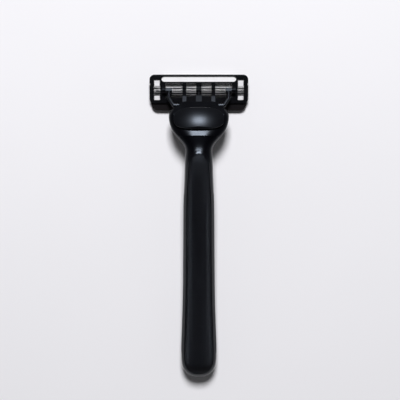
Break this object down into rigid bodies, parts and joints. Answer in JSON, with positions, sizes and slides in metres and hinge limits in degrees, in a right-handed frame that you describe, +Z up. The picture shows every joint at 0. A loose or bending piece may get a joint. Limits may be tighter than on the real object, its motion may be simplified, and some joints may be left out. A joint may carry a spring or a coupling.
{
  "type": "safety razor",
  "caption": "Razor with a rubber-gripped handle, an oval release button and a pivoting multi-blade cartridge on a docking yoke.",
  "frame": {"origin": "under the middle of the razor, on the surface that it rests on, blades down", "axes": "+Y along the handle towards the cartridge, +Z up from the surface, +X to the right"},
  "size_m": [0.043, 0.132, 0.018],
  "materials": {
    "handle_plastic": "satin moulded",
    "nose_plastic": "moulded",
    "grip_rubber": "diamond knurled",
    "button_plastic": "satin gloss",
    "cartridge_plastic": "moulded",
    "guard_rubber": "finned",
    "strip_white": "smooth",
    "blade_steel": "ground",
    "support_steel": "rolled",
    "clip_aluminium": "rolled",
    "spring_steel": "drawn wire",
    "screw_steel": "blackened",
    "weight_steel": "sawn bar"
  },
  "bodies": {
    "handle": {"handle_core": "handle_plastic", "head_cover": "handle_plastic", "front_grip": "grip_rubber", "back_grip": "grip_rubber", "weight_bar": "weight_steel", "docking_nose": "nose_plastic", "nose_screw": "screw_steel", "plunger_spring": "spring_steel", "button_spring_left": "spring_steel", "button_spring_right": "spring_steel"},
    "button": {"release_button": "button_plastic", "ejector": "nose_plastic"},
    "plunger": {"plunger": "nose_plastic"},
    "yoke": {"yoke": "cartridge_plastic"},
    "cartridge": {"cartridge_frame": "cartridge_plastic", "lubricating_strip": "strip_white", "guard_fins": "guard_rubber", "retaining_clip_left": "clip_aluminium", "retaining_clip_right": "clip_aluminium", "blade_1": "blade_steel", "blade_2": "blade_steel", "blade_3": "blade_steel", "blade_4": "blade_steel", "blade_5": "blade_steel", "blade_support_1": "support_steel", "blade_support_2": "support_steel", "blade_support_3": "support_steel", "blade_support_4": "support_steel", "blade_support_5": "support_steel"}
  },
  "joints": [
    {"name": "yoke_release", "type": "slide", "parent": "handle", "child": "yoke", "axis": [0, 0.9511, -0.309], "range_m": [0, 0.014]},
    {"name": "cartridge_pivot", "type": "hinge", "parent": "yoke", "child": "cartridge", "pos_m": [0, 0.0588, 0.006], "axis": [1, 0, 0], "range_deg": [0, 40], "stiffness_Nm_per_rad": 0.004, "springref_deg": -20.05},
    {"name": "plunger_slide", "type": "slide", "parent": "handle", "child": "plunger", "axis": [0, 0.9511, -0.309], "range_m": [-0.0009, 0], "deforming": ["plunger_spring"]},
    {"name": "button_slide", "type": "slide", "parent": "handle", "child": "button", "axis": [0, 0.9511, -0.309], "range_m": [0, 0.0022], "stiffness_N_per_m": 1000, "springref_m": -0.0015, "deforming": ["button_spring_left", "button_spring_right"]}
  ],
  "couplings": [
    {"joint": "plunger_slide", "follows": "cartridge_pivot", "m_per_rad": -0.0012}
  ]
}
